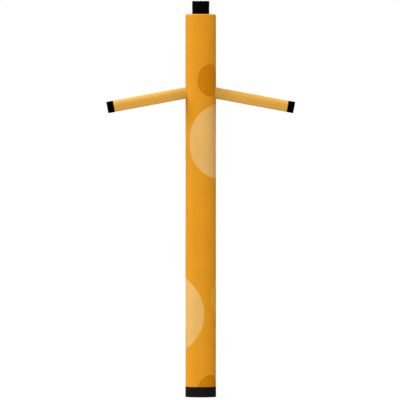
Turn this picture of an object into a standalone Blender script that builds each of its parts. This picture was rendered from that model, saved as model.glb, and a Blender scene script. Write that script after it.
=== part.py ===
"""Inflatable air dancer: a tall cloth tube blown up from below, with a vented head, two arms and a fringe.

Metres, +Z up. The origin is on the floor at the middle of the tube. The front faces -Y, so +X is on the
right of someone who looks at it. Every piece is a thin sheet in the shape that air pressure gives it.
"""

import math

import bmesh
import bpy
from mathutils import Matrix

OBJECT_NAME = "air_dancer"

# Cloth
SHEET = 0.002  # thickness of every cut piece
GAP = 0.0003  # between the faces of two pieces that are sewn to each other
MERGE = 0.00001  # merge distance where a turned profile closes on itself

# Main tube
TUBE_RADIUS = 0.231
TUBE_SIDES = 64
TUBE_ROWS = 12  # rows of faces between the base band and the rounded top edge

# Base band, which slips over the blower's collar
BAND_HEIGHT = 0.157
BAND_LAP = 0.020  # how far the band covers the tube's lower edge
BAND_ROWS = 2

# Head
HEAD_TOP = 5.803  # height that the crown would reach over the middle of the vent
CROWN_RADIUS = 5.0  # radius of the slightly domed top
CORNER_RADIUS = 0.024  # rounded edge between the tube and the top
TUBE_EDGE_TURN = math.radians(50)  # how far round that edge the tube's cloth runs
PANEL_EDGE_TURN = math.radians(15)  # where the head panel starts, under the tube's cloth
CORNER_STEPS = 4  # points along each rounded stretch
CROWN_STEPS = 3
VENT_LIP_RADIUS = 0.004  # the panel's edge rolls down into the vent
VENT_LIP_DEPTH = 0.010  # straight part of that edge, sewn to the fringe's backing

# Fringe of cut strips round the vent
TOTAL_HEIGHT = 6.000
FRINGE_RADIUS = 0.129  # to the outer faces of the strips
STRIP_COUNT = 27
STRIP_WIDTH = 0.0277
STRIP_THICKNESS = 0.002
STRIP_SEGMENTS = 4
STRIP_UNEVEN = 0.005  # the shortest strip ends this much below the longest
STRIP_LEAN = 0.0012  # most that a tip leans in or out
STRIP_WAVE = 0.0012  # how far a strip bows on its way up
BACKING_THICKNESS = 0.003
BACKING_ABOVE = 0.006  # uncut backing that shows above the head
BACKING_BELOW = 0.012  # uncut backing inside the vent
STRIP_ROOT = 0.004  # how deep each strip is fused into the backing

# Arms, which droop a little outwards
SHOULDER_HEIGHT = 4.605  # where an arm's axis meets the tube's surface
ARM_DROOP = math.radians(10.55)
ARM_REACH = 1.4155  # from the tube's axis to the middle of the open hand
ARM_RADIUS = 0.0855
ARM_SIDES = 32
ARM_ROWS = 5
ARM_ALLOWANCE = 0.010  # seam allowance of the arm inside the tube's wall
ARM_ROOT_DEPTH = 0.060  # length of arm inside the shoulder point, before it is trimmed
SADDLE_HEIGHT = 0.400

# Cuffs at the hands
CUFF_LENGTH = 0.103
CUFF_LAP = 0.015  # how far the cuff covers the arm's end
CUFF_ROWS = 2

# Colours as linear RGB
ORANGE = (0.765, 0.310, 0.019)
PALE_ORANGE = (0.800, 0.420, 0.095)
BLACK = (0.008, 0.007, 0.007)
FRINGE_BLACK = (0.004, 0.003, 0.004)
CLOTH_ROUGHNESS = 0.55

# Worked out from the sizes above
CORNER_AXIS_RADIUS = TUBE_RADIUS - CORNER_RADIUS
PANEL_CORNER_RADIUS = CORNER_RADIUS - SHEET - GAP
CROWN_JOIN = math.acos(CORNER_AXIS_RADIUS / (CROWN_RADIUS - PANEL_CORNER_RADIUS))
CROWN_CENTRE = HEAD_TOP - CROWN_RADIUS
CORNER_HEIGHT = CROWN_CENTRE + (CROWN_RADIUS - PANEL_CORNER_RADIUS) * math.sin(CROWN_JOIN)
BACKING_SIDES = 2 * STRIP_COUNT
BACKING_RADIUS = FRINGE_RADIUS + (BACKING_THICKNESS - STRIP_THICKNESS) / 2
VENT_RADIUS = (BACKING_RADIUS + GAP) / math.cos(math.pi / TUBE_SIDES)
ARM_LENGTH = (ARM_REACH - TUBE_RADIUS) / math.cos(ARM_DROOP)
CUFF_START = ARM_LENGTH - CUFF_LENGTH


def clear_scene():
    for old in list(bpy.data.objects):
        bpy.data.objects.remove(old, do_unlink=True)


def new_collection(name):
    collection = bpy.data.collections.new(name)
    bpy.context.scene.collection.children.link(collection)
    return collection


def cloth_material(name, colour):
    """Plain woven nylon in one colour."""
    material = bpy.data.materials.new(name)
    material.use_nodes = True
    shader = material.node_tree.nodes["Principled BSDF"]
    shader.inputs["Base Color"].default_value = (*colour, 1)
    shader.inputs["Roughness"].default_value = CLOTH_ROUGHNESS
    shader.inputs["Metallic"].default_value = 0.0
    return material


def new_object(name, mesh, collection, parent=None):
    made = bpy.data.objects.new(name, mesh)
    collection.objects.link(made)
    made.parent = parent
    return made


def new_empty(name, collection, location=(0, 0, 0), turn=0.0):
    """A placing point. turn tips its +Z axis from straight up towards +X."""
    empty = bpy.data.objects.new(name, None)
    empty.empty_display_size = 0.1
    empty.location = location
    empty.rotation_euler = (0, turn, 0)
    collection.objects.link(empty)
    return empty


def as_cutter(made):
    made.hide_render = True
    made.display_type = "WIRE"
    return made


def line_down(radius, top, bottom, rows):
    """A straight wall's profile, from its top to its bottom."""
    return [(radius, top + (bottom - top) * row / rows) for row in range(rows + 1)]


def arc(centre, radius, start, end, steps):
    """Points round a centre in the profile's plane. The angles are measured from +X towards +Z."""
    turns = [start + (end - start) * step / steps for step in range(steps + 1)]
    return [(centre[0] + radius * math.cos(a), centre[1] + radius * math.sin(a)) for a in turns]


def turned_sheet(name, profile, sides, thickness, material, collection, parent):
    """An open profile at +X, read from top to bottom, turned round Z and thickened inwards."""
    mesh = bpy.data.meshes.new(name)
    points = [(radius, 0, height) for radius, height in profile]
    mesh.from_pydata(points, [(i, i + 1) for i in range(len(points) - 1)], [])
    mesh.materials.append(material)
    made = new_object(name, mesh, collection, parent)
    screw = made.modifiers.new("Turn", "SCREW")
    screw.axis = "Z"
    screw.angle = 2 * math.pi
    screw.steps = sides
    screw.render_steps = sides
    screw.use_merge_vertices = True
    screw.merge_threshold = MERGE
    screw.use_smooth_shade = True
    solidify = made.modifiers.new("Sheet", "SOLIDIFY")
    solidify.thickness = thickness
    solidify.offset = -1
    solidify.use_even_offset = True
    return made


def cut_with(made, cutter, operation="DIFFERENCE"):
    boolean = made.modifiers.new(cutter.name, "BOOLEAN")
    boolean.operation = operation
    boolean.solver = "EXACT"
    boolean.object = cutter


def keep_walls_smooth(made):
    """Lets the large wall faces set the shading, so that thin rims don't darken them."""
    made.modifiers.new("Shading", "WEIGHTED_NORMAL")


def cylinder_cutter(name, radius, low, high, sides, collection, parent):
    """A closed cylinder along the parent's Z axis, from low to high."""
    mesh = bpy.data.meshes.new(name)
    body = bmesh.new()
    middle = Matrix.Translation((0, 0, (low + high) / 2))
    size = {"radius1": radius, "radius2": radius, "depth": high - low}
    bmesh.ops.create_cone(body, cap_ends=True, segments=sides, matrix=middle, **size)
    body.to_mesh(mesh)
    body.free()
    return as_cutter(new_object(name, mesh, collection, parent))


def make_body_tube(material, parts, root):
    """The one-panel tube. Its upper edge turns in over the head panel's rim."""
    centre = (CORNER_AXIS_RADIUS, CORNER_HEIGHT)
    edge = arc(centre, CORNER_RADIUS, TUBE_EDGE_TURN, 0, CORNER_STEPS)
    wall = line_down(TUBE_RADIUS, CORNER_HEIGHT, BAND_HEIGHT - BAND_LAP, TUBE_ROWS)
    return turned_sheet("body_tube", edge + wall[1:], TUBE_SIDES, SHEET, material, parts, root)


def make_base_band(material, parts, root):
    """The black collar at the foot, sewn over the tube's lower edge. The whole object stands on its hem."""
    profile = line_down(TUBE_RADIUS + GAP + SHEET, BAND_HEIGHT, 0, BAND_ROWS)
    return turned_sheet("base_band", profile, TUBE_SIDES, SHEET, material, parts, root)


def make_head_panel(material, parts, root):
    """The round top with its vent. The rim lies under the tube's cloth, and the vent's edge rolls down."""
    lip_centre_radius = VENT_RADIUS + VENT_LIP_RADIUS
    lip_centre_height = CROWN_CENTRE + math.sqrt(CROWN_RADIUS**2 - lip_centre_radius**2) - VENT_LIP_RADIUS
    crown_start = math.acos(lip_centre_radius / CROWN_RADIUS)
    lip = arc((lip_centre_radius, lip_centre_height), VENT_LIP_RADIUS, math.pi, crown_start, CORNER_STEPS)
    crown = arc((0, CROWN_CENTRE), CROWN_RADIUS, crown_start, CROWN_JOIN, CROWN_STEPS)
    corner_centre = (CORNER_AXIS_RADIUS, CORNER_HEIGHT)
    corner = arc(corner_centre, PANEL_CORNER_RADIUS, CROWN_JOIN, PANEL_EDGE_TURN, CORNER_STEPS)
    hem = [(VENT_RADIUS, lip_centre_height - VENT_LIP_DEPTH)]
    profile = hem + lip[:-1] + crown + corner[1:]
    return turned_sheet("head_panel", profile, TUBE_SIDES, SHEET, material, parts, root)


def strip_offset(index, share):
    """How far strip number index stands out from upright, at a share of its height."""
    lean = STRIP_LEAN * math.sin(2.4 * index + 0.6)
    wave = STRIP_WAVE * math.sin(1.7 * index + 2 * math.pi * share)
    return (lean * share + wave) * min(1.0, 2 * share)


def add_strip(body, index, low):
    """One four-sided strip of the fringe, from inside the backing to its own uneven tip."""
    high = TOTAL_HEIGHT - STRIP_UNEVEN * (1 - math.cos(2.1 * index)) / 2
    size = Matrix.Diagonal((STRIP_THICKNESS, STRIP_WIDTH, high - low, 1))
    place = Matrix.Translation((FRINGE_RADIUS - STRIP_THICKNESS / 2, 0, (low + high) / 2))
    known_points = len(body.verts)
    known_edges = len(body.edges)
    bmesh.ops.create_cube(body, size=1, matrix=place @ size)
    body.edges.ensure_lookup_table()
    upright = [e for e in body.edges[known_edges:] if abs(e.verts[0].co.z - e.verts[1].co.z) > STRIP_WIDTH]
    bmesh.ops.subdivide_edges(body, edges=upright, cuts=STRIP_SEGMENTS - 1)
    turn = Matrix.Rotation(2 * math.pi * index / STRIP_COUNT, 4, "Z")
    body.verts.ensure_lookup_table()
    for vertex in body.verts[known_points:]:
        share = (vertex.co.z - low) / (high - low)
        vertex.co.x += strip_offset(index, share)
        vertex.co = turn @ vertex.co


def make_fringe(material, parts, cutters, root):
    """A band of cloth round the vent, cut into upright strips above its uncut backing."""
    head_height = CROWN_CENTRE + math.sqrt(CROWN_RADIUS**2 - VENT_RADIUS**2)
    top = head_height + BACKING_ABOVE
    profile = line_down(BACKING_RADIUS, top, head_height - BACKING_BELOW, 1)
    fringe = turned_sheet("hair", profile, BACKING_SIDES, BACKING_THICKNESS, material, parts, root)
    mesh = bpy.data.meshes.new("hair_strips")
    body = bmesh.new()
    for index in range(STRIP_COUNT):
        add_strip(body, index, top - STRIP_ROOT)
    body.to_mesh(mesh)
    body.free()
    strips = as_cutter(new_object("hair_strips", mesh, cutters, root))
    cut_with(fringe, strips, "UNION")
    return fringe


def make_arm(side, materials, body_tube, parts, cutters, root):
    """A hollow arm that passes through the tube's wall, and the black cuff over its open end."""
    sign = 1 if side == "right" else -1
    place = (sign * TUBE_RADIUS, 0, SHOULDER_HEIGHT)
    shoulder = new_empty(f"shoulder_{side}", parts, place, sign * (math.pi / 2 + ARM_DROOP))
    shoulder.parent = root

    profile = line_down(ARM_RADIUS, CUFF_START + CUFF_LAP, -ARM_ROOT_DEPTH, ARM_ROWS)
    arm = turned_sheet(f"arm_{side}", profile, ARM_SIDES, SHEET, materials["arm"], parts, shoulder)
    low = SHOULDER_HEIGHT - SADDLE_HEIGHT / 2
    high = SHOULDER_HEIGHT + SADDLE_HEIGHT / 2
    saddle_radius = TUBE_RADIUS - SHEET - ARM_ALLOWANCE
    saddle = cylinder_cutter(f"saddle_{side}", saddle_radius, low, high, TUBE_SIDES, cutters, root)
    cut_with(arm, saddle)

    reach = (-ARM_ROOT_DEPTH, ARM_ROOT_DEPTH)
    hole = cylinder_cutter(f"arm_hole_{side}", ARM_RADIUS + GAP, *reach, ARM_SIDES, cutters, shoulder)
    cut_with(body_tube, hole)

    profile = line_down(ARM_RADIUS + GAP + SHEET, ARM_LENGTH, CUFF_START, CUFF_ROWS)
    cuff = turned_sheet(f"cuff_{side}", profile, ARM_SIDES, SHEET, materials["cuff"], parts, shoulder)
    return arm, cuff


def main():
    clear_scene()
    parts = new_collection(OBJECT_NAME)
    cutters = new_collection(f"{OBJECT_NAME}_cutters")
    root = new_empty("air_dancer_root", parts)
    materials = {
        "body": cloth_material("body cloth", ORANGE),
        "head": cloth_material("head cloth", ORANGE),
        "arm": cloth_material("arm cloth", PALE_ORANGE),
        "cuff": cloth_material("cuff cloth", BLACK),
        "band": cloth_material("base band cloth", BLACK),
        "hair": cloth_material("fringe cloth", FRINGE_BLACK),
    }
    body_tube = make_body_tube(materials["body"], parts, root)
    pieces = [body_tube]
    pieces.append(make_base_band(materials["band"], parts, root))
    pieces.append(make_head_panel(materials["head"], parts, root))
    pieces.append(make_fringe(materials["hair"], parts, cutters, root))
    for side in ("left", "right"):
        pieces.extend(make_arm(side, materials, body_tube, parts, cutters, root))
    for piece in pieces:
        keep_walls_smooth(piece)


main()
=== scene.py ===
"""Looks of the inflatable air dancer: thin sewn nylon sheets, stitching, print, floor, light and camera.

Metres, +Z up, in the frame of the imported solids. The front faces -Y, so +X is on the viewer's right.
Every sheet is a function from a place on the flat cloth (across, run) to a place in space, so the mesh,
its flat coordinates and its stitches all come from the same function.
"""

import math
from collections import namedtuple

import bpy
import numpy as np
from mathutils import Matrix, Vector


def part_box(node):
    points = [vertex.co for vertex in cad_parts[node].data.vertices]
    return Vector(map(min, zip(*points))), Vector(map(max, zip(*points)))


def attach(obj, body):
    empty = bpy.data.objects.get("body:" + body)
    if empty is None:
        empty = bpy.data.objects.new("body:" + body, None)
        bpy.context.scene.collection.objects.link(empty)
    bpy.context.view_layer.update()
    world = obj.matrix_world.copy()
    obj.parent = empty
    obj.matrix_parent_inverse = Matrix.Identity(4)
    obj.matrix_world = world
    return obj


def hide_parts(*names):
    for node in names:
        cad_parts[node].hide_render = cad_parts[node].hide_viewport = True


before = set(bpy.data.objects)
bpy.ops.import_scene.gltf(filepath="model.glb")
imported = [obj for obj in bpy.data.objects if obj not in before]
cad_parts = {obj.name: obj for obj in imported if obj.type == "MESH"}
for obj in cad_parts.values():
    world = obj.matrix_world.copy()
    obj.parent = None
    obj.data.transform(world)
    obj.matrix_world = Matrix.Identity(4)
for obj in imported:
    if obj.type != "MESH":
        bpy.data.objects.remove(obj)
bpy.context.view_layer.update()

PI = math.pi
TURN = 2 * math.pi

# Cloth and seams
SHEET = 0.0006  # thickness of the coated nylon
FRINGE_SHEET = 0.0008  # the fringe's cloth is a little thicker
GAP = 0.0003  # between two layers that are sewn together
WELD_REACH = 0.00001  # points of neighbouring patches that are closer than this become one
EDGE_ANGLE = math.radians(35)  # edges sharper than this keep their corner in the shading

# Main tube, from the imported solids
TUBE_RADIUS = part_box("body_tube")[1].x
TUBE_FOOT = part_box("body_tube")[0].z
BAND_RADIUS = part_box("base_band")[1].x
BAND_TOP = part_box("base_band")[1].z
TUBE_COLUMNS = 192
TUBE_GIRTH = TURN * TUBE_RADIUS

# Head: a rounded edge of the tube's cloth over a slightly domed panel with a vent
CORNER_RADIUS = 0.024
CORNER_AXIS = TUBE_RADIUS - CORNER_RADIUS
TUBE_EDGE_TURN = math.radians(50)
CORNER_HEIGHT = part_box("body_tube")[1].z - CORNER_RADIUS * math.sin(TUBE_EDGE_TURN)
PANEL_CORNER = CORNER_RADIUS - 0.0023
PANEL_EDGE_TURN = math.radians(15)
CROWN_RADIUS = 5.0
CROWN_JOIN = math.acos(CORNER_AXIS / (CROWN_RADIUS - PANEL_CORNER))
CROWN_CENTRE = CORNER_HEIGHT - (CROWN_RADIUS - PANEL_CORNER) * math.sin(CROWN_JOIN)
VENT_RADIUS = 0.12996
LIP_RADIUS = 0.004
LIP_DEPTH = 0.010
VENT_HEIGHT = CROWN_CENTRE + math.sqrt(CROWN_RADIUS**2 - VENT_RADIUS**2)
TUBE_TOP_RUN = CORNER_HEIGHT + CORNER_RADIUS * TUBE_EDGE_TURN  # the tube's cut edge, counted from the floor
HEAD_COLUMNS = 160

# Arms and cuffs
SHOULDER_HEIGHT = 4.605
ARM_DROOP = math.radians(10.55)
ARM_RADIUS = 0.0855
ARM_LENGTH = 1.2049
ARM_ROOT_RADIUS = 0.219  # the arm's cloth is trimmed to this cylinder, inside the tube
CUFF_RADIUS = ARM_RADIUS + 0.0023
CUFF_LENGTH = 0.103
CUFF_LAP = 0.015
ARM_COLUMNS = 96

# Folded hems of the band and the cuffs
HEM_FOLD = 0.0008  # radius of the fold
BAND_HEM = 0.025
BAND_HEM_SEAM = 0.022  # height at which the hem draws the cloth in most
CUFF_HEM = 0.015

# Fringe round the vent
FRINGE_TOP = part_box("hair")[1].z
BACKING_RADIUS = 0.1295
STRIP_RADIUS = 0.129
STRIP_COUNT = 27
STRIP_WIDTH = 0.0277
STRIP_PITCH = TURN * BACKING_RADIUS / STRIP_COUNT
STRIP_UNEVEN = 0.005
STRIP_LEAN = 0.0012
STRIP_WAVE = 0.0012
STRIP_CURL = 0.0016
STRIP_GRID = (7, 19)  # points across a strip and up it
BACKING_ROWS = 4
STRIP_SHEEN_SPAN = (0.001, 0.006)  # from a strip's middle line: painted sheen at full strength up to here, and none from here
BACKING_ABOVE = 0.006
BACKING_BELOW = 0.012

# Stitches
STITCH_PITCH = 0.0045
STITCH_LENGTH = 0.0033
STITCH_WIDTH = 0.0008
STITCH_HEIGHT = 0.00045
STITCH_SINK = 0.0001
STITCH_END = 0.5  # in shares of its length, from its middle to its pointed end
STITCH_SHOULDER = 0.27  # the same, to where it is as thick as it gets

# Rows of stitches, each by its distance from the edge or the seam that it holds
TOP_ROWS = (0.004, 0.010)
BACK_SEAM_ROW = 0.0032  # on either side of the back seam's middle
HOLE_ROW = 0.006
VENT_ROWS = (0.003, 0.009)
BAND_ROWS = (0.004, 0.011)
CUFF_ROWS = (0.004, 0.010)
BAND_HEM_ROW = 0.004
CUFF_HEM_ROW = 0.003

# Print on the tube: plain discs, a little taller than wide, placed on the flat cloth from its front middle
# line and from the floor
Disc = namedtuple("Disc", "across height half_width half_height ink")
PALE_INK = (0.760, 0.440, 0.124)
FAINT_INK = (0.770, 0.366, 0.028)
DEEP_INK = (0.590, 0.198, 0.001)
DISCS = (
    Disc(0.448, 1.508, 0.274, 0.319, FAINT_INK),
    Disc(0.309, 3.871, 0.494, 0.562, PALE_INK),
    Disc(-0.433, 1.2606, 0.486, 0.561, PALE_INK),
    Disc(0.157, 4.7975, 0.212, 0.245, DEEP_INK),
    Disc(0.159, 0.096, 0.210, 0.245, DEEP_INK),
)
INK_EDGE = 0.0005  # half the width in which a disc's edge fades
INK_BLEED = 0.0007  # how far the ink strays into the threads

# Colours as linear RGB
BODY_ORANGE = (0.730, 0.300, 0.014)
ARM_ORANGE = (0.680, 0.352, 0.054)
ARM_ROOT_PAINTED_SHADE = (0.571, 0.310, 0.052)  # painted shade: the arm's cloth is darker where it is sewn to the tube
ROOT_SHADE_REACH = 0.38  # how far along the arm that painted shade fades
CUFF_BLACK = (0.0005, 0.0005, 0.0005)
BAND_BLACK = (0.0085, 0.0085, 0.0085)
FRINGE_BLACK = (0.0002, 0.0002, 0.0002)
FRINGE_PAINTED_SHEEN = (0.0080, 0.0080, 0.0084)  # painted sheen: the lighter middle line of each strip, a painted highlight
THREAD_ORANGE = (0.50, 0.180, 0.008)
THREAD_BLACK = (0.010, 0.010, 0.010)

# Studio. A strength of 1 shows a cloth that faces the lamp in its own colour.
LAMPS = {
    "top": {"azimuth": 0, "elevation": 88, "strength": 0.478, "angle": 50},
    "high_left": {"azimuth": -90, "elevation": 65, "strength": 0.393, "angle": 35},
    "left": {"azimuth": -107, "elevation": 21, "strength": 0.510, "angle": 18},
    "low_left": {"azimuth": -60, "elevation": -30, "strength": 0.071, "angle": 40},
    "front": {"azimuth": 0, "elevation": 0, "strength": 0.540, "angle": 40},
    "floor_bounce": {"azimuth": 0, "elevation": -80, "strength": 0.571, "angle": 50},
    "right": {"azimuth": 117, "elevation": 25, "strength": 0.150, "angle": 30},
    "back": {"azimuth": 180, "elevation": 5, "strength": 0.280, "angle": 40},
}
LIGHT_ABOVE = 0.49
LIGHT_BELOW = 0.01
HORIZON_BLUR = 0.05
FLOOR_GREY = 0.12
FLOOR_UNEVEN = 0.001
FLOOR_GLOW = 0.835
FLOOR_SIDE = 900.0

# Camera: far away with a long lens, a little above the shoulders and tipped down to the middle of the part
CAMERA_PLACE = (-0.0111, -110.0, 5.1921)
CAMERA_TILT = math.radians(1.15)
CAMERA_LENS = 653.5
CAMERA_SENSOR = 36.0
CAMERA_REACH = (1.0, 600.0)


# ---------------------------------------------------------------- shape helpers


class Axis:
    """A line that cloth is wrapped round: its start, the way along it, and the way that across = 0 faces."""

    def __init__(self, start, along, facing):
        self.start = np.array(start, float)
        self.along = np.array(along, float)
        self.facing = np.array(facing, float)
        self.side = np.cross(self.along, self.facing)

    def place(self, angle, radius, height):
        """Points at an angle round the line, a radius from it and a height along it."""
        out = np.cos(angle)[..., None] * self.facing + np.sin(angle)[..., None] * self.side
        return self.start + radius[..., None] * out + height[..., None] * self.along


UPRIGHT = Axis((0, 0, 0), (0, 0, 1), (0, -1, 0))


def arm_axis(sign):
    """The axis of the arm on the side of +X (sign 1) or -X (sign -1), from the shoulder to the hand."""
    along = (sign * math.cos(ARM_DROOP), 0, -math.sin(ARM_DROOP))
    up = (sign * math.sin(ARM_DROOP), 0, math.cos(ARM_DROOP))
    return Axis((sign * TUBE_RADIUS, 0, SHOULDER_HEIGHT), along, up)


def cuff_axis(sign):
    """The arm's axis seen from the hand: it starts at the open end and points back to the shoulder."""
    arm = arm_axis(sign)
    return Axis(arm.start + ARM_LENGTH * arm.along, -arm.along, arm.facing)


def smooth_step(value):
    """A soft rise from 0 to 1, for values from 0 to 1."""
    share = np.clip(value, 0, 1)
    return share * share * (3 - 2 * share)


def near(distance, reach):
    """1 on a seam, fading softly to 0 at reach from it."""
    return 1 - smooth_step(np.abs(distance) / reach)


def uneven_wave(angle, counts, start):
    """An irregular wave round a closed seam, mostly within -1 to 1. counts are whole waves in a turn."""
    total = 0.0
    for place, count in enumerate(counts, 1):
        total = total + np.sin(count * angle + start * place + 0.7 * place**2)
    return total / len(counts) ** 0.5 / 1.2


def spans(*stops):
    """Positions in rising order from (position, steps) pairs: where a span ends, and its steps."""
    found = [stops[0][0]]
    for low, (high, steps) in zip([s[0] for s in stops], stops[1:]):
        found.extend(low + (high - low) * step / steps for step in range(1, steps + 1))
    return np.array(found)


# ---------------------------------------------------------------- mesh helpers


def patch(surface, across, run, keep=None, flat=None):
    """Vertices, flat places and quads of a grid on a sheet. keep marks the quads that stay."""
    rows, columns = across.shape
    index = np.arange(rows * columns).reshape(rows, columns)
    quads = np.stack([index[:-1, :-1], index[:-1, 1:], index[1:, 1:], index[1:, :-1]], axis=-1)
    quads = quads.reshape(-1, 4) if keep is None else quads[keep]
    places = np.stack([across, run], axis=-1) if flat is None else flat(across, run)
    return surface(across, run).reshape(-1, 3), places.reshape(-1, 2), quads


def grid(across, run):
    """The two coordinates of every point of a grid with a row for each run and a column for each across."""
    return np.meshgrid(across, run)


def mesh_from(name, points, faces, flat=None):
    """A mesh from arrays. faces is a list of arrays of faces with equal numbers of corners."""
    mesh = bpy.data.meshes.new(name)
    corners = np.concatenate([group.reshape(-1) for group in faces])
    sizes = np.concatenate([np.full(len(group), group.shape[1]) for group in faces])
    starts = np.concatenate([[0], np.cumsum(sizes)[:-1]])
    mesh.vertices.add(len(points))
    mesh.vertices.foreach_set("co", np.asarray(points, np.float32).reshape(-1))
    mesh.loops.add(len(corners))
    mesh.loops.foreach_set("vertex_index", corners.astype(np.int32))
    mesh.polygons.add(len(sizes))
    mesh.polygons.foreach_set("loop_start", starts.astype(np.int32))
    if flat is not None:
        layer = mesh.uv_layers.new(name="flat_cloth")
        layer.data.foreach_set("uv", flat[corners].astype(np.float32).reshape(-1))
    mesh.update(calc_edges=True)
    return mesh


def new_piece(name, mesh, material):
    """An object in the scene with one material."""
    made = bpy.data.objects.new(name, mesh)
    bpy.context.scene.collection.objects.link(made)
    mesh.materials.append(material)
    return made


def settle(made):
    """Applies the modifiers of a piece and keeps its sharp edges crisp in the shading."""
    depsgraph = bpy.context.evaluated_depsgraph_get()
    mesh = bpy.data.meshes.new_from_object(
        made.evaluated_get(depsgraph), preserve_all_data_layers=True, depsgraph=depsgraph
    )
    old = made.data
    made.modifiers.clear()
    made.data = mesh
    mesh.name = made.name
    bpy.data.meshes.remove(old)
    mesh.shade_smooth()
    mesh.set_sharp_from_angle(angle=EDGE_ANGLE)


def cloth_piece(name, patches, material, thickness=SHEET):
    """One sheet from its patches, welded where they meet and thickened on its inner side."""
    points, places, quads, count = [], [], [], 0
    for patch_points, patch_places, patch_quads in patches:
        points.append(patch_points)
        places.append(patch_places)
        quads.append(patch_quads + count)
        count += len(patch_points)
    mesh = mesh_from(name, np.concatenate(points), [np.concatenate(quads)], np.concatenate(places))
    made = new_piece(name, mesh, material)
    weld = made.modifiers.new("Weld", "WELD")
    weld.merge_threshold = WELD_REACH
    solidify = made.modifiers.new("Thickness", "SOLIDIFY")
    solidify.thickness = thickness
    solidify.offset = -1
    settle(made)
    return made


def stitch_template():
    """The ten points of a stitch, a short thread with pointed ends, and its faces as triangles and quads."""
    ring = [(0.5, 0.0), (0.0, 1.0), (-0.5, 0.0), (0.0, -STITCH_SINK / STITCH_HEIGHT)]  # side, up
    points = [(-STITCH_END, 0.0, 0.0)]
    points += [(-STITCH_SHOULDER, *corner) for corner in ring]
    points += [(STITCH_SHOULDER, *corner) for corner in ring]
    points += [(STITCH_END, 0.0, 0.0)]
    ends, sides = [], []
    for corner in range(4):
        following = (corner + 1) % 4
        ends.append((0, 1 + following, 1 + corner))
        ends.append((9, 5 + corner, 5 + following))
        sides.append((1 + corner, 1 + following, 5 + following, 5 + corner))
    size = np.array([STITCH_LENGTH, STITCH_WIDTH, STITCH_HEIGHT])
    return np.array(points) * size, np.array(ends), np.array(sides)


def unit(vectors):
    """The vectors at length 1."""
    return vectors / np.linalg.norm(vectors, axis=-1, keepdims=True)


def stitch_places(surface, across, run):
    """Centres, ways and normals of the stitches along a line drawn on a sheet."""
    step = 0.0004  # for measuring which way the sheet slopes
    line = surface(across, run)
    lengths = np.concatenate([[0], np.cumsum(np.linalg.norm(np.diff(line, axis=0), axis=1))])
    count = max(1, round(lengths[-1] / STITCH_PITCH))
    at = (np.arange(count) + 0.5) * lengths[-1] / count
    u, v = np.interp(at, lengths, across), np.interp(at, lengths, run)
    ahead_u, ahead_v = np.interp(at + step, lengths, across), np.interp(at + step, lengths, run)
    behind_u, behind_v = np.interp(at - step, lengths, across), np.interp(at - step, lengths, run)
    way = unit(surface(ahead_u, ahead_v) - surface(behind_u, behind_v))
    over = surface(u + step, v) - surface(u - step, v)
    up = surface(u, v + step) - surface(u, v - step)
    return surface(u, v), way, unit(np.cross(over, up))


def stitched(name, rows, material):
    """All the stitches of some rows, in one mesh."""
    template, ends, sides = stitch_template()
    centre, way, normal = (np.concatenate(parts) for parts in zip(*rows))
    side = np.cross(normal, way)
    axes = np.stack([way, side, normal], axis=1)
    points = centre[:, None] + np.einsum("pk,nkx->npx", template, axes)
    shift = np.arange(len(centre))[:, None, None] * len(template)
    faces = [(group[None] + shift).reshape(-1, group.shape[1]) for group in (ends, sides)]
    made = new_piece(name, mesh_from(name, points.reshape(-1, 3), faces), material)
    made.data.shade_smooth()
    return made


def ring_line(run, girth, steps=1400):
    """A line right round a wrapped sheet at one run."""
    across = np.linspace(-girth / 2, girth / 2, steps)
    return across, np.full(steps, run)


def long_line(across, low, high, steps=900):
    """A line along a sheet at one across."""
    return np.full(steps, across), np.linspace(low, high, steps)


# ---------------------------------------------------------------- arm holes in the tube


def hole_edge(sign, count=720):
    """The edge of the arm's hole in the tube, as (across, run) on the flat cloth."""
    around = np.linspace(-PI, PI, count, endpoint=False)
    radius = ARM_RADIUS + GAP
    lift = radius * np.cos(around)
    depth = radius * np.sin(around)
    sunk = np.sqrt(TUBE_RADIUS**2 - depth**2) - TUBE_RADIUS
    reach = (sunk - lift * math.sin(ARM_DROOP)) / math.cos(ARM_DROOP)
    across = TUBE_RADIUS * (sign * PI / 2 - np.arcsin(depth / TUBE_RADIUS))
    run = SHOULDER_HEIGHT - reach * math.sin(ARM_DROOP) + lift * math.cos(ARM_DROOP)
    return across, run


HOLES = {sign: hole_edge(sign) for sign in (-1, 1)}
HOLE_CENTRES = {sign: (edge[0].mean(), edge[1].mean()) for sign, edge in HOLES.items()}


def hole_at(sign, direction):
    """The point of the hole's edge that lies in a direction from its centre."""
    centre = HOLE_CENTRES[sign]
    across, run = HOLES[sign]
    angle = np.arctan2(run - centre[1], across - centre[0])
    order = np.argsort(angle)
    return (
        np.interp(direction, angle[order], across[order], period=TURN),
        np.interp(direction, angle[order], run[order], period=TURN),
    )


def from_hole(sign, across, run):
    """Distance outside the hole's edge on the flat cloth, and the direction from the hole's centre."""
    centre = HOLE_CENTRES[sign]
    direction = np.arctan2(run - centre[1], across - centre[0])
    edge = hole_at(sign, direction)
    far = np.hypot(across - centre[0], run - centre[1])
    return far - np.hypot(edge[0] - centre[0], edge[1] - centre[1]), direction


# ---------------------------------------------------------------- sheets as functions

SWAY = 0.0007  # slow unevenness of the blown-up wall
FELL_HALF = 0.0052  # half width of the lapped back seam
FELL_HEIGHT = 0.0008
FELL_FLANK = 0.0012
FELL_PULL = 0.0010
FELL_PULL_REACH = 0.035
ARM_FELL = 0.7  # an arm's back seam, as a share of the tube's
HOLE_DIP = 0.0016  # how deep the tube's cloth dips right at an arm's hole
HOLE_DIP_REACH = 0.0035
TOP_SEAM = TUBE_TOP_RUN - 0.006  # run of the seam between the tube and the head panel

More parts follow.
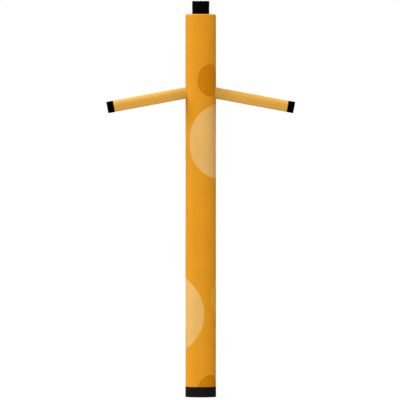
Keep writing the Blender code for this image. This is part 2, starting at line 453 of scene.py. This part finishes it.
# Cloth that stitches draw in beside a seam or a hem: how deep, how far from it, and the waves round it, as
# whole waves in a turn and where they start. Two sheets that are lapped at a seam share its waves.
Pucker = namedtuple("Pucker", "depth reach counts start")
TUBE_FOOT_PUCKER = Pucker(0.00045, 0.065, (31, 43, 23), 0.4)
BAND_TOP_PUCKER = TUBE_FOOT_PUCKER._replace(depth=0.00036, reach=0.040)
BAND_HEM_PUCKER = Pucker(0.00018, 0.030, (33, 45, 27), 2.2)
TUBE_TOP_PUCKER = Pucker(0.000225, 0.065, (37, 29, 47), 1.3)
HEAD_RIM_PUCKER = TUBE_TOP_PUCKER._replace(reach=0.045)
VENT_PUCKER = Pucker(0.00045, 0.040, (27, 19, 35), 0.9)
HOLE_PUCKERS = {sign: Pucker(0.00063, 0.055, (13, 9, 17), 2.0 + sign) for sign in (-1, 1)}
ARM_ROOT_PUCKER = Pucker(0.00054, 0.070, (13, 9, 17), 3.0)
ARM_WRIST_PUCKER = Pucker(0.00045, 0.050, (11, 15, 8), 1.1)
CUFF_TOP_PUCKER = ARM_WRIST_PUCKER._replace(depth=0.00036, reach=0.040)
CUFF_HEM_PUCKER = Pucker(0.000216, 0.025, (12, 17, 9), 2.6)


def drawn_in(pucker, distance, angle):
    """How deep the cloth is drawn in at a distance from a seam, and at an angle round it."""
    wave = uneven_wave(angle, pucker.counts, pucker.start)
    return pucker.depth * near(distance, pucker.reach) * (1 + wave)


def slow_unevenness(angle, height):
    """The small, wide swells of a wall of cloth under air."""
    swell = np.sin(2 * angle + 2.1 * height + 0.5) + 0.8 * np.sin(3 * angle - 3.7 * height + 1.9)
    swell = swell + 0.6 * np.sin(5 * angle + 6.3 * height + 4.0) + 0.5 * np.sin(angle - 9.1 * height)
    return SWAY * swell / 1.5


def seam_ridge(distance):
    """A lapped seam: a low flat ridge, with the cloth beside it drawn in."""
    ridge = FELL_HEIGHT * near(np.maximum(np.abs(distance) - FELL_HALF, 0), FELL_FLANK)
    return ridge - FELL_PULL * near(distance, FELL_PULL_REACH)


def tube_relief(across, run):
    """How far the tube's cloth stands out from its even form."""
    angle = across / TUBE_RADIUS
    relief = slow_unevenness(angle, run) + seam_ridge(TUBE_GIRTH / 2 - np.abs(across))
    relief = relief - drawn_in(TUBE_FOOT_PUCKER, run - BAND_TOP, angle)
    relief = relief - drawn_in(TUBE_TOP_PUCKER, run - TOP_SEAM, angle)
    for sign, pucker in HOLE_PUCKERS.items():
        distance, direction = from_hole(sign, across, run)
        outside = np.maximum(distance, 0)
        relief = relief - drawn_in(pucker, outside, direction) - HOLE_DIP * near(outside, HOLE_DIP_REACH)
    return relief


def tube_surface(across, run):
    """The main tube: a straight wall whose top edge bends in over the head panel."""
    bend = np.clip((run - CORNER_HEIGHT) / CORNER_RADIUS, 0, PI / 2)
    out = CORNER_RADIUS + tube_relief(across, run)
    height = np.minimum(run, CORNER_HEIGHT) + out * np.sin(bend)
    return UPRIGHT.place(across / TUBE_RADIUS, CORNER_AXIS + out * np.cos(bend), height)


def hemmed(run, radius):
    """Radius and height of a wall with its hem folded inside. run is 0 where the fold starts."""
    bend = np.clip(-run / HEM_FOLD, 0, PI)
    inside = np.maximum(-run - PI * HEM_FOLD, 0)
    height = HEM_FOLD - HEM_FOLD * np.sin(bend) + np.maximum(run, 0) + inside
    return radius - HEM_FOLD + HEM_FOLD * np.cos(bend), height


def band_surface(across, run):
    """The foot band, with its hem folded inside."""
    angle = across / BAND_RADIUS
    radius, height = hemmed(run, BAND_RADIUS)
    hem = drawn_in(BAND_HEM_PUCKER, height - BAND_HEM_SEAM, angle)
    top = drawn_in(BAND_TOP_PUCKER, height - BAND_TOP, angle)
    return UPRIGHT.place(angle, radius + slow_unevenness(angle, height) - hem - top, height)


def head_profile():
    """The panel's section from its rim, under the tube's cloth, over the crown and down the vent's lip."""
    corner = np.linspace(PANEL_EDGE_TURN, CROWN_JOIN, 16)
    radii = CORNER_AXIS + PANEL_CORNER * np.cos(corner)
    points = list(zip(radii, CORNER_HEIGHT + PANEL_CORNER * np.sin(corner)))
    lip_middle = VENT_RADIUS + LIP_RADIUS
    lip_height = CROWN_CENTRE + math.sqrt(CROWN_RADIUS**2 - lip_middle**2) - LIP_RADIUS
    crown_end = math.acos(lip_middle / CROWN_RADIUS)
    crown = np.linspace(CROWN_JOIN, crown_end, 20)[1:]
    points += [(CROWN_RADIUS * math.cos(a), CROWN_CENTRE + CROWN_RADIUS * math.sin(a)) for a in crown]
    lip = np.linspace(crown_end, PI, 10)[1:]
    points += [(lip_middle + LIP_RADIUS * math.cos(a), lip_height + LIP_RADIUS * math.sin(a)) for a in lip]
    points.append((VENT_RADIUS, lip_height - LIP_DEPTH))
    return np.array(points)


HEAD_PROFILE = head_profile()
HEAD_RUNS = np.concatenate([[0], np.cumsum(np.linalg.norm(np.diff(HEAD_PROFILE, axis=0), axis=1))])
HEAD_VENT_RUN = HEAD_RUNS[-1] - LIP_DEPTH - LIP_RADIUS * PI / 2  # where the crown meets the lip
HEAD_VENT_SEAM = HEAD_VENT_RUN - 0.006
HEAD_RIM_SEAM = 0.016
HEAD_RIM_RADIUS = HEAD_VENT_RUN + VENT_RADIUS + LIP_RADIUS  # of the flat disc


def head_relief(angle, run):
    """How far the panel stands up from its even form."""
    rim = drawn_in(HEAD_RIM_PUCKER, run - HEAD_RIM_SEAM, angle)
    vent = drawn_in(VENT_PUCKER, run - HEAD_VENT_SEAM, angle)
    free = 1 - near(HEAD_RUNS[-1] - run, LIP_DEPTH)  # the fringe holds the lip's lower edge level
    return free * (0.4 * slow_unevenness(angle, 3.1 * run) - rim - vent)


def head_surface(across, run):
    """across is the way round at the tube's radius, and run goes from the rim towards the vent."""
    angle = across / TUBE_RADIUS
    radius = np.interp(run, HEAD_RUNS, HEAD_PROFILE[:, 0])
    height = np.interp(run, HEAD_RUNS, HEAD_PROFILE[:, 1]) + head_relief(angle, run)
    return UPRIGHT.place(angle, radius, height)


def head_flat(across, run):
    """The panel's flat place: a disc round the middle of the vent."""
    angle = across / TUBE_RADIUS
    return (HEAD_RIM_RADIUS - run)[..., None] * np.stack([np.sin(angle), -np.cos(angle)], axis=-1)


def arm_relief(across, run):
    """How far an arm's cloth stands out from its even form."""
    angle = across / ARM_RADIUS
    relief = 0.7 * slow_unevenness(angle, 4.0 * run + 1.0)
    relief = relief - drawn_in(ARM_ROOT_PUCKER, run, angle)
    relief = relief - drawn_in(ARM_WRIST_PUCKER, run - (ARM_LENGTH - CUFF_LENGTH), angle)
    return relief + ARM_FELL * seam_ridge(PI * ARM_RADIUS - np.abs(across))


def arm_surface(sign):
    """The surface of one arm's cloth. run is 0 where its axis meets the tube's wall."""
    axis = arm_axis(sign)

    def surface(across, run):
        return axis.place(across / ARM_RADIUS, ARM_RADIUS + arm_relief(across, run), run)

    return surface


def arm_root(across):
    """Where the arm's cloth starts, inside the tube: its trimmed edge follows the tube's wall."""
    lift = ARM_RADIUS * np.cos(across / ARM_RADIUS)
    depth = ARM_RADIUS * np.sin(across / ARM_RADIUS)
    inward = np.sqrt(ARM_ROOT_RADIUS**2 - depth**2) - TUBE_RADIUS - lift * math.sin(ARM_DROOP)
    return inward / math.cos(ARM_DROOP)


def cuff_surface(sign):
    """The surface of one cuff. run rises from the open end towards the shoulder."""
    axis = cuff_axis(sign)

    def surface(across, run):
        angle = across / CUFF_RADIUS
        radius, height = hemmed(run, CUFF_RADIUS)
        top = drawn_in(CUFF_TOP_PUCKER, height - CUFF_LENGTH, angle)
        hem = drawn_in(CUFF_HEM_PUCKER, height - CUFF_HEM, angle)
        return axis.place(angle, radius - top - hem, height)

    return surface


# ---------------------------------------------------------------- materials


def node(tree, kind, *values, **settings):
    """Adds a node. values go to its inputs in order; a socket is linked, a number or tuple is set."""
    made = tree.nodes.new(kind)
    for name, value in settings.items():
        setattr(made, name, value)
    for socket, value in zip(made.inputs, values):
        if isinstance(value, bpy.types.NodeSocket):
            tree.links.new(value, socket)
        elif value is not None:
            socket.default_value = value
    return made


def maths(tree, operation, *values):
    """The result of one Math node."""
    return node(tree, "ShaderNodeMath", *values, operation=operation).outputs[0]


def remap(tree, value, low, high, to_low, to_high, smooth=False):
    """A value's range from low to high, moved to the range from to_low to to_high and held inside it."""
    made = node(tree, "ShaderNodeMapRange", value, low, high, to_low, to_high)
    made.interpolation_type = "SMOOTHSTEP" if smooth else "LINEAR"
    return made.outputs["Result"]


def mixed(tree, share, first, second, blend="MIX"):
    """A colour mix. share, first and second are sockets or constants."""
    made = tree.nodes.new("ShaderNodeMix")
    made.data_type = "RGBA"
    made.blend_type = blend
    for name, value in (("Factor_Float", share), ("A_Color", first), ("B_Color", second)):
        socket = next(s for s in made.inputs if s.identifier == name)
        if isinstance(value, bpy.types.NodeSocket):
            tree.links.new(value, socket)
        else:
            socket.default_value = value if isinstance(value, float) else (*value, 1)
    return next(s for s in made.outputs if s.identifier == "Result_Color")


def grey(tree, value):
    """A number as a grey colour."""
    return node(tree, "ShaderNodeCombineColor", value, value, value).outputs[0]


def flat_place(tree):
    """The across and run of the flat cloth, in metres."""
    place = node(tree, "ShaderNodeUVMap", uv_map="flat_cloth").outputs[0]
    parts = node(tree, "ShaderNodeSeparateXYZ", place)
    return place, parts.outputs[0], parts.outputs[1]


def noise(tree, place, scale, detail=2.0, stretch=(1.0, 1.0, 1.0)):
    """Even noise about 0.5, over the flat cloth or over space."""
    scaled = node(tree, "ShaderNodeVectorMath", place, stretch, operation="MULTIPLY").outputs[0]
    made = node(tree, "ShaderNodeTexNoise")
    tree.links.new(scaled, made.inputs["Vector"])
    made.inputs["Scale"].default_value = scale
    made.inputs["Detail"].default_value = detail
    return made.outputs["Fac"]


def grid_lines(tree, across, run, pitch, width):
    """1 on the lines of a square grid of that pitch, and 0 between them."""
    found = []
    for way in (across, run):
        distance = maths(tree, "PINGPONG", way, pitch / 2)
        found.append(remap(tree, distance, 0.0, width, 1.0, 0.0, smooth=True))
    return maths(tree, "MAXIMUM", *found)


def weave(tree, across, run, pitch):
    """The over and under of a plain weave, from -1 to 1."""
    waves = [maths(tree, "SINE", maths(tree, "MULTIPLY", way, TURN / pitch)) for way in (across, run)]
    return maths(tree, "MULTIPLY", *waves)


def round_the_back(discs):
    """The discs, and once more a girth on or back where they run past the back seam."""
    found = []
    for disc in discs:
        for shift in (-TUBE_GIRTH, 0.0, TUBE_GIRTH):
            if abs(disc.across + shift) - disc.half_width < TUBE_GIRTH / 2:
                found.append(disc._replace(across=disc.across + shift))
    return found


def disc_share(tree, place, disc):
    """1 inside a printed disc, with a crisp edge that bleeds a little into the threads."""
    middle = (disc.across, disc.height, 0.0)
    size = (disc.half_width, disc.half_height, 1.0)
    from_middle = node(tree, "ShaderNodeVectorMath", place, middle, operation="SUBTRACT").outputs[0]
    shares = node(tree, "ShaderNodeVectorMath", from_middle, size, operation="DIVIDE").outputs[0]
    distance = node(tree, "ShaderNodeVectorMath", shares, operation="LENGTH").outputs["Value"]
    bleed = remap(tree, noise(tree, place, INK_GRAIN, 1.0), 0.0, 1.0, -INK_BLEED, INK_BLEED)
    edge = maths(tree, "ADD", maths(tree, "MULTIPLY", distance, disc.half_width), bleed)
    inner, outer = disc.half_width - INK_EDGE, disc.half_width + INK_EDGE
    return remap(tree, edge, inner, outer, 1.0, 0.0, smooth=True)


# rip and pitch are the spacings of the ripstop lines and of the weave, tone is how uneven the dye is, relief
# is the weave's depth, root the painted shade where an arm starts, crease a strip's painted highlight
Cloth = namedtuple("Cloth", "colour rip pitch tone rough specular relief root crease")
RIPSTOP = Cloth(
    colour=None,
    rip=0.0060,
    pitch=0.0007,
    tone=0.034,
    rough=0.52,
    specular=0.05,
    relief=0.00011,
    root=None,
    crease=None,
)
RIP_LINE = 0.0004  # half width of a ripstop line
NOISE_RANGE = (0.3, 0.7)  # where nearly all of a noise lies
DYE_CLOUDS = 2.3  # scales of the noises, about one change in 1 / scale metres
ROUGH_CLOUDS = 17.0
INK_GRAIN = 900.0
ACROSS_THREADS = 1500.0
ALONG_THREADS = 9.0
ROUGH_UNEVEN = 0.05


def cloth_material(name, cloth, discs=()):
    """Coated nylon: weave, ripstop lines, uneven dye, print and roughness, all on the flat cloth."""
    material = bpy.data.materials.new(name)
    material.use_nodes = True
    tree = material.node_tree
    shader = tree.nodes["Principled BSDF"]
    place, across, run = flat_place(tree)

    colour = cloth.colour
    # painted shade: the colour darkens towards the shoulder seam, standing in for the shade that the tube
    # casts there
    if cloth.root:
        root_shade_share = remap(tree, run, 0.0, ROOT_SHADE_REACH, 1.0, 0.0, smooth=True)
        colour = mixed(tree, root_shade_share, colour, cloth.root)
    # painted sheen: a lighter line down the middle of each fringe strip, a painted highlight
    if cloth.crease:
        from_middle = maths(tree, "PINGPONG", across, STRIP_PITCH / 2)
        sheen_share = remap(tree, from_middle, *STRIP_SHEEN_SPAN, 1.0, 0.0, smooth=True)
        colour = mixed(tree, sheen_share, colour, cloth.crease)
    for disc in discs:
        colour = mixed(tree, disc_share(tree, place, disc), colour, disc.ink)
    lines = grid_lines(tree, across, run, cloth.rip, RIP_LINE)
    dye = noise(tree, place, DYE_CLOUDS, 4.0)
    warp = noise(tree, place, 1.0, 1.0, (ACROSS_THREADS, ALONG_THREADS, 1.0))
    weft = noise(tree, place, 1.0, 1.0, (ALONG_THREADS, ACROSS_THREADS, 1.0))
    darkest, lightest = 1.0 - cloth.tone, 1.0 + cloth.tone
    tone = remap(tree, dye, *NOISE_RANGE, darkest, lightest)
    threads = remap(tree, maths(tree, "ADD", warp, weft), 0.6, 1.4, darkest, lightest)
    raised = remap(tree, lines, 0.0, 1.0, 1.0, 1.0 - 1.5 * cloth.tone)
    tone = maths(tree, "MULTIPLY", maths(tree, "MULTIPLY", tone, threads), raised)
    tree.links.new(mixed(tree, 1.0, colour, grey(tree, tone), "MULTIPLY"), shader.inputs["Base Color"])

    rough = noise(tree, place, ROUGH_CLOUDS, 3.0)
    rough = remap(tree, rough, *NOISE_RANGE, cloth.rough - ROUGH_UNEVEN, cloth.rough + ROUGH_UNEVEN)
    tree.links.new(rough, shader.inputs["Roughness"])
    shader.inputs["Metallic"].default_value = 0.0
    shader.inputs["Specular IOR Level"].default_value = cloth.specular

    cross = remap(tree, weave(tree, across, run, cloth.pitch), -1.0, 1.0, 0.0, 0.5)
    height = maths(tree, "ADD", cross, lines)
    bump = node(tree, "ShaderNodeBump")
    bump.inputs["Strength"].default_value = 0.7
    bump.inputs["Distance"].default_value = cloth.relief
    tree.links.new(height, bump.inputs["Height"])
    tree.links.new(bump.outputs[0], shader.inputs["Normal"])
    return material


def thread_material(name, colour):
    """Twisted sewing thread."""
    material = bpy.data.materials.new(name)
    material.use_nodes = True
    tree = material.node_tree
    shader = tree.nodes["Principled BSDF"]
    place = node(tree, "ShaderNodeTexCoord").outputs["Object"]
    uneven = noise(tree, place, 60.0, 2.0)
    tone = grey(tree, remap(tree, uneven, *NOISE_RANGE, 0.88, 1.12))
    tree.links.new(mixed(tree, 1.0, colour, tone, "MULTIPLY"), shader.inputs["Base Color"])
    tree.links.new(remap(tree, uneven, *NOISE_RANGE, 0.45, 0.6), shader.inputs["Roughness"])
    shader.inputs["Specular IOR Level"].default_value = 0.25
    plies = node(tree, "ShaderNodeTexWave", wave_type="BANDS", bands_direction="DIAGONAL")
    tree.links.new(place, plies.inputs["Vector"])
    plies.inputs["Scale"].default_value = 900.0
    bump = node(tree, "ShaderNodeBump")
    bump.inputs["Strength"].default_value = 0.6
    bump.inputs["Distance"].default_value = 0.00008
    tree.links.new(plies.outputs["Fac"], bump.inputs["Height"])
    tree.links.new(bump.outputs[0], shader.inputs["Normal"])
    return material


# ---------------------------------------------------------------- pieces


def dressed(made, node_name=None):
    """Ties a piece to the frame: its body and the solid that it stands for."""
    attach(made, "root")
    if node_name:
        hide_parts(node_name)
    return made


WINDOW_COLUMNS = 19  # half width of the window round an arm's hole, in columns of the tube
WINDOW_ROWS = 38
WINDOW_HALF = 0.1425  # half height of that window
WINDOW_RINGS = 17
# Extra columns beside a back seam, by their distance from its middle
TUBE_SEAM_COLUMNS = np.array([0, 0.0025, FELL_HALF, FELL_HALF + 0.0004, FELL_HALF + FELL_FLANK])
ARM_SEAM_COLUMNS = np.array([0, 0.0025, FELL_HALF - 0.0007])


def tube_columns():
    """The across of every column: even, with closer ones beside the back seam."""
    pitch = TUBE_GIRTH / TUBE_COLUMNS
    even = (np.arange(TUBE_COLUMNS - 1) - (TUBE_COLUMNS / 2 - 1)) * pitch
    close = TUBE_GIRTH / 2 - TUBE_SEAM_COLUMNS
    return np.concatenate([-close, even[1:-1], close[::-1]])


def tube_rows():
    """The run of every row, closer together at the foot, beside the arms and at the top."""
    top = TUBE_TOP_RUN
    low, high = SHOULDER_HEIGHT - WINDOW_HALF, SHOULDER_HEIGHT + WINDOW_HALF
    return spans(
        (TUBE_FOOT, 0),
        (BAND_TOP, 3),
        (BAND_TOP + 0.07, 12),
        (low, 62),
        (high, WINDOW_ROWS),
        (top - 0.09, 15),
        (CORNER_HEIGHT, 10),
        (top - 0.012, 5),
        (top, 7),
    )


def window_patch(sign, columns, rows, left, right, low, high):
    """The ring of cloth between the edge of a window in the tube's grid and the arm's hole."""
    bottom = [(columns[c], rows[low]) for c in range(left, right)]
    far = [(columns[right], rows[r]) for r in range(low, high)]
    upper = [(columns[c], rows[high]) for c in range(right, left, -1)]
    close = [(columns[left], rows[r]) for r in range(high, low - 1, -1)]
    outer = np.array(bottom + far + upper + close)
    centre = HOLE_CENTRES[sign]
    direction = np.arctan2(outer[:, 1] - centre[1], outer[:, 0] - centre[0])
    inner = np.stack(hole_at(sign, direction), axis=-1)
    share = 1 - (1 - np.linspace(0, 1, WINDOW_RINGS)) ** 1.7  # closer together beside the hole
    places = outer + share[:, None, None] * (inner - outer)
    return patch(tube_surface, places[..., 0], places[..., 1])


def make_tube(cloth, thread):
    columns, rows = tube_columns(), tube_rows()
    keep = np.ones((len(rows) - 1, len(columns) - 1), bool)
    low = int(np.argmin(np.abs(rows - (SHOULDER_HEIGHT - WINDOW_HALF))))
    high = low + WINDOW_ROWS
    windows = []
    for sign in (-1, 1):
        middle = int(np.argmin(np.abs(columns - sign * TUBE_GIRTH / 4)))
        left, right = middle - WINDOW_COLUMNS, middle + WINDOW_COLUMNS
        keep[low:high, left:right] = False
        windows.append(window_patch(sign, columns, rows, left, right, low, high))
    wall = patch(tube_surface, *grid(columns, rows), keep)
    tube = dressed(cloth_piece("tube_cloth", [wall, *windows], cloth), "body_tube")

    lines = [ring_line(TUBE_TOP_RUN - inset, TUBE_GIRTH) for inset in TOP_ROWS]
    for half in (1, -1):
        across = half * (TUBE_GIRTH / 2 - BACK_SEAM_ROW)
        lines.append(long_line(across, BAND_TOP + 0.004, TUBE_TOP_RUN - 0.013, 3000))
    for sign in (-1, 1):
        direction = np.linspace(-PI, PI, 700)
        edge = np.stack(hole_at(sign, direction))
        ray = np.stack([np.cos(direction), np.sin(direction)])
        lines.append(tuple(edge + HOLE_ROW * ray))
    rows_of = [stitch_places(tube_surface, *line) for line in lines]
    stitches = dressed(stitched("tube_stitches", rows_of, thread))


def make_head(cloth, thread):
    columns = np.linspace(-TUBE_GIRTH / 2, TUBE_GIRTH / 2, HEAD_COLUMNS + 1)
    runs = np.unique(np.concatenate([HEAD_RUNS, HEAD_VENT_RUN - np.array([0.004, 0.008, 0.012, 0.018])]))
    made = cloth_piece("head_cloth", [patch(head_surface, *grid(columns, runs), flat=head_flat)], cloth)
    head = dressed(made, "head_panel")
    lines = [ring_line(HEAD_VENT_RUN - inset, TUBE_GIRTH) for inset in VENT_ROWS]
    rows_of = [stitch_places(head_surface, *line) for line in lines]
    stitches = dressed(stitched("vent_stitches", rows_of, thread))


def make_band(cloth, thread):
    columns = np.linspace(-PI * BAND_RADIUS, PI * BAND_RADIUS, TUBE_COLUMNS + 1)
    fold = PI * HEM_FOLD
    top = BAND_TOP - HEM_FOLD
    runs = spans((-fold - BAND_HEM, 0), (-fold, 5), (0, 6), (0.03, 6), (top - 0.02, 9), (top, 5))
    made = cloth_piece("band_cloth", [patch(band_surface, *grid(columns, runs))], cloth)
    band = dressed(made, "base_band")
    girth = TURN * BAND_RADIUS
    lines = [ring_line(top - inset, girth) for inset in BAND_ROWS]
    lines.append(ring_line(BAND_HEM - BAND_HEM_ROW, girth))
    rows_of = [stitch_places(band_surface, *line) for line in lines]
    stitches = dressed(stitched("band_stitches", rows_of, thread))


def strip_surface(index, low):
    """One strip of the fringe. across is measured from the strip's middle line, run is the height.

    The factors beside index make every strip's tip, curl, lean and wave a little different.
    """
    turn = TURN * index / STRIP_COUNT
    tip = FRINGE_TOP - STRIP_UNEVEN * (1 - math.cos(2.1 * index)) / 2
    curl = STRIP_CURL * math.sin(1.3 * index + 0.4)

    def surface(across, run):
        share = (run - low) / (tip - low)
        grown = np.minimum(1.0, 2 * share)
        lean = STRIP_LEAN * math.sin(2.4 * index + 0.6) * share
        wave = STRIP_WAVE * np.sin(1.7 * index + TURN * share)
        cup = curl * share * ((2 * across / STRIP_WIDTH) ** 2 - 0.4)
        radius = BACKING_RADIUS - (BACKING_RADIUS - STRIP_RADIUS) * smooth_step(4 * share)
        return UPRIGHT.place(turn + across / BACKING_RADIUS, radius + (lean + wave) * grown + cup, run)

    return surface, tip


def make_fringe(cloth):
    top = VENT_HEIGHT + BACKING_ABOVE
    bottom = VENT_HEIGHT - BACKING_BELOW
    half = STRIP_WIDTH / 2
    patches, area = [], TURN * BACKING_RADIUS * (top - bottom)

    def backing(across, run):
        return UPRIGHT.place(across / BACKING_RADIUS, np.full_like(run, BACKING_RADIUS), run)

    for index in range(STRIP_COUNT):
        surface, tip = strip_surface(index, top)
        middle = index * STRIP_PITCH
        across = np.linspace(-half, half, STRIP_GRID[0])
        patches.append(patch(surface, *grid(across, np.linspace(top, tip, STRIP_GRID[1]))))
        patches[-1][1][:, 0] += middle
        joined = np.append(across, STRIP_PITCH - half) + middle
        patches.append(patch(backing, *grid(joined, np.linspace(bottom, top, BACKING_ROWS))))
        area += STRIP_WIDTH * (tip - top)
    fringe = dressed(cloth_piece("fringe_cloth", patches, cloth, FRINGE_SHEET), "hair")


def make_arm(side, cloth, thread):
    sign = 1 if side == "right" else -1
    surface = arm_surface(sign)
    girth = TURN * ARM_RADIUS
    pitch = girth / ARM_COLUMNS
    even = np.arange(1 - ARM_COLUMNS / 2, ARM_COLUMNS / 2) * pitch
    close = girth / 2 - ARM_SEAM_COLUMNS
    columns = np.concatenate([-close, even[1:-1], close[::-1]])
    end = ARM_LENGTH - CUFF_LENGTH + CUFF_LAP
    share = spans((0, 0), (0.08, 16), (0.92, 40), (1.0, 14))
    across = np.tile(columns, (len(share), 1))
    start = arm_root(across)
    run = start + share[:, None] * (end - start)
    made = cloth_piece(f"arm_cloth_{side}", [patch(surface, across, run)], cloth)
    arm = dressed(made, f"arm_{side}")

    lines = []
    for half in (1, -1):
        line = half * (girth / 2 - BACK_SEAM_ROW)
        lines.append(long_line(line, 0.010, ARM_LENGTH - CUFF_LENGTH - 0.002))
    rows_of = [stitch_places(surface, *line) for line in lines]
    stitches = dressed(stitched(f"arm_stitches_{side}", rows_of, thread))


def make_cuff(side, cloth, thread):
    sign = 1 if side == "right" else -1
    surface = cuff_surface(sign)
    girth = TURN * CUFF_RADIUS
    columns = np.linspace(-girth / 2, girth / 2, ARM_COLUMNS + 1)
    fold = PI * HEM_FOLD
    top = CUFF_LENGTH - HEM_FOLD
    runs = spans((-fold - CUFF_HEM, 0), (-fold, 4), (0, 6), (0.02, 5), (top - 0.02, 7), (top, 5))
    made = cloth_piece(f"cuff_cloth_{side}", [patch(surface, *grid(columns, runs))], cloth)
    cuff = dressed(made, f"cuff_{side}")
    lines = [ring_line(top - inset, girth) for inset in CUFF_ROWS]
    lines.append(ring_line(CUFF_HEM - CUFF_HEM_ROW, girth))
    rows_of = [stitch_places(surface, *line) for line in lines]
    stitches = dressed(stitched(f"cuff_stitches_{side}", rows_of, thread))


# ---------------------------------------------------------------- studio


def make_floor():
    """A wide, plain, pale floor."""
    material = bpy.data.materials.new("pale_floor")
    material.use_nodes = True
    tree = material.node_tree
    shader = tree.nodes["Principled BSDF"]
    place = node(tree, "ShaderNodeTexCoord").outputs["Object"]
    low, high = FLOOR_GREY - FLOOR_UNEVEN, FLOOR_GREY + FLOOR_UNEVEN
    tone = remap(tree, noise(tree, place, 0.8, 2.0), *NOISE_RANGE, low, high)
    tree.links.new(grey(tree, tone), shader.inputs["Base Color"])
    shader.inputs["Roughness"].default_value = 0.9
    shader.inputs["Specular IOR Level"].default_value = 0.0
    shader.inputs["Emission Color"].default_value = (1, 1, 1, 1)
    shader.inputs["Emission Strength"].default_value = FLOOR_GLOW
    half = FLOOR_SIDE / 2
    corners = np.array([(-half, -half, 0), (half, -half, 0), (half, half, 0), (-half, half, 0)])
    floor = new_piece("floor", mesh_from("floor", corners, [np.array([[0, 1, 2, 3]])]), material)
    floor.visible_diffuse = False  # the lamp floor_bounce stands for the light that it sends up
    floor.visible_glossy = False
    floor.visible_shadow = False


def make_lamp(name, azimuth, elevation, strength, angle):
    """A wide soft lamp. Azimuth 0 is straight in front, and rises towards the viewer's right."""
    lamp = bpy.data.lights.new(name, "SUN")
    lamp.energy = PI * strength
    lamp.angle = math.radians(angle)
    made = bpy.data.objects.new(name, lamp)
    bpy.context.scene.collection.objects.link(made)
    made.rotation_euler = (math.radians(90 - elevation), 0, math.radians(azimuth))


def make_world():
    """White behind the object, and the even light from above and below."""
    world = bpy.data.worlds.new("studio")
    bpy.context.scene.world = world
    world.use_nodes = True
    tree = world.node_tree
    background = tree.nodes["Background"]
    way = node(tree, "ShaderNodeTexCoord").outputs["Generated"]
    height = node(tree, "ShaderNodeSeparateXYZ", way).outputs[2]
    even = remap(tree, height, -HORIZON_BLUR, HORIZON_BLUR, LIGHT_BELOW, LIGHT_ABOVE)
    seen = node(tree, "ShaderNodeLightPath").outputs["Is Camera Ray"]
    strength = node(tree, "ShaderNodeMapRange", seen, 0.0, 1.0, even, 1.0).outputs["Result"]
    background.inputs["Color"].default_value = (1, 1, 1, 1)
    tree.links.new(strength, background.inputs["Strength"])


def make_camera():
    lens = bpy.data.cameras.new("camera")
    lens.sensor_width = CAMERA_SENSOR
    lens.lens = CAMERA_LENS
    lens.clip_start, lens.clip_end = CAMERA_REACH
    camera = bpy.data.objects.new("camera", lens)
    bpy.context.scene.collection.objects.link(camera)
    camera.location = CAMERA_PLACE
    camera.rotation_euler = (PI / 2 - CAMERA_TILT, 0, 0)
    bpy.context.scene.camera = camera


def main():
    bpy.context.scene.view_settings.view_transform = "Standard"
    orange_thread = thread_material("orange_thread", THREAD_ORANGE)
    black_thread = thread_material("black_thread", THREAD_BLACK)
    body = RIPSTOP._replace(colour=BODY_ORANGE)
    black = RIPSTOP._replace(specular=0.005, rough=0.60, relief=0.00010)
    make_tube(cloth_material("printed_body_cloth", body, round_the_back(DISCS)), orange_thread)
    make_head(cloth_material("head_cloth", body), orange_thread)
    # the arms' cloth carries a painted shade next to the shoulder
    arm_cloth = cloth_material("arm_cloth", RIPSTOP._replace(colour=ARM_ORANGE, root=ARM_ROOT_PAINTED_SHADE))
    cuff_cloth = cloth_material("cuff_cloth", black._replace(colour=CUFF_BLACK))
    for side in ("left", "right"):
        make_arm(side, arm_cloth, orange_thread)
        make_cuff(side, cuff_cloth, black_thread)
    band_cloth = black._replace(colour=BAND_BLACK, rip=0.0012, pitch=0.0012, relief=0.00016, specular=0.02)
    make_band(cloth_material("band_cloth", band_cloth), black_thread)
    # the fringe carries a painted sheen down each strip
    make_fringe(cloth_material("fringe_cloth", black._replace(colour=FRINGE_BLACK, crease=FRINGE_PAINTED_SHEEN)))
    make_floor()
    make_world()
    for name, lamp in LAMPS.items():
        make_lamp(name, **lamp)
    make_camera()


main()
